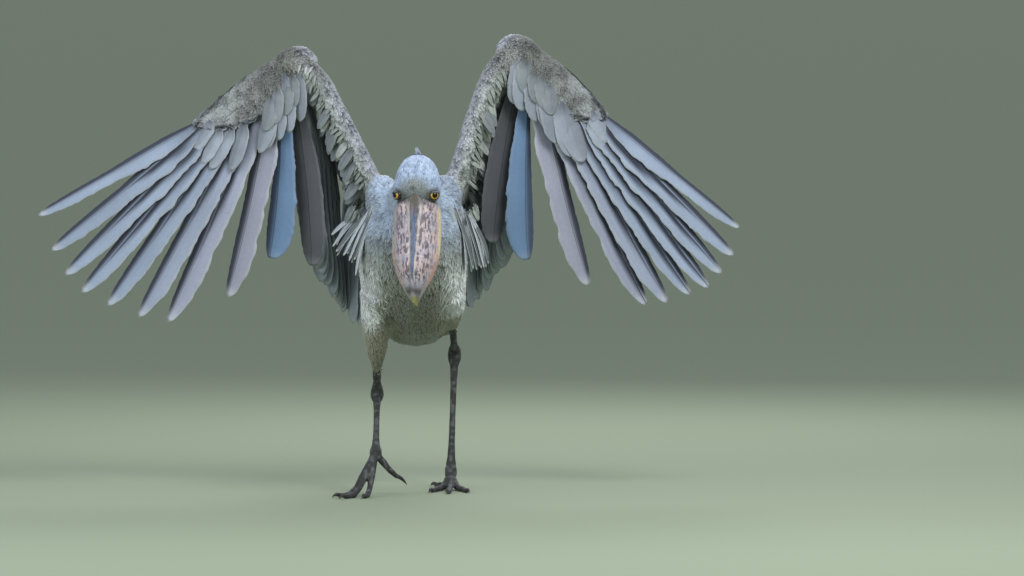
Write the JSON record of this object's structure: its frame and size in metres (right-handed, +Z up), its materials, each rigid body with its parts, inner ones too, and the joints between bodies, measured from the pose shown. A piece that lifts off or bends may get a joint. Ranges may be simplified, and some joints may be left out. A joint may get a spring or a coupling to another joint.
{
  "type": "shoebill bird model",
  "caption": "Life-size still model of a shoebill standing with lowered bill and both wings raised and fanned.",
  "frame": {"origin": "on the floor under the middle of the model's box", "axes": "+Z up, -Y the way the bird faces, +X towards the bird's left wing"},
  "size_m": [1.526, 0.8234, 0.9999],
  "materials": {
    "head_feathers": "matte",
    "neck_feathers": "matte",
    "body_feathers": "matte",
    "tail_feathers": "matte",
    "arm_feathers": "matte",
    "flight_feathers": "matte",
    "thigh_feathers": "matte",
    "bill_horn": "satin",
    "eye": "gloss",
    "leg_skin": "matte",
    "claw_horn": "satin"
  },
  "bodies": {
    "root": {"head": "head_feathers", "bill_upper": "bill_horn", "bill_lower": "bill_horn", "eye_left": "eye", "eye_right": "eye", "neck": "neck_feathers", "trunk": "body_feathers", "tail": "tail_feathers", "wing_left_upper_arm": "arm_feathers", "wing_left_forearm": "arm_feathers", "wing_left_hand": "flight_feathers", "wing_right_upper_arm": "arm_feathers", "wing_right_forearm": "arm_feathers", "wing_right_hand": "flight_feathers", "leg_left_thigh": "thigh_feathers", "leg_left_shank": "leg_skin", "leg_left_tarsus": "leg_skin", "leg_left_foot": "leg_skin", "claw_left_1": "claw_horn", "claw_left_2": "claw_horn", "claw_left_3": "claw_horn", "claw_left_4": "claw_horn", "leg_right_thigh": "thigh_feathers", "leg_right_shank": "leg_skin", "leg_right_tarsus": "leg_skin", "leg_right_foot": "leg_skin", "claw_right_1": "claw_horn", "claw_right_2": "claw_horn", "claw_right_3": "claw_horn", "claw_right_4": "claw_horn"}
  },
  "joints": []
}
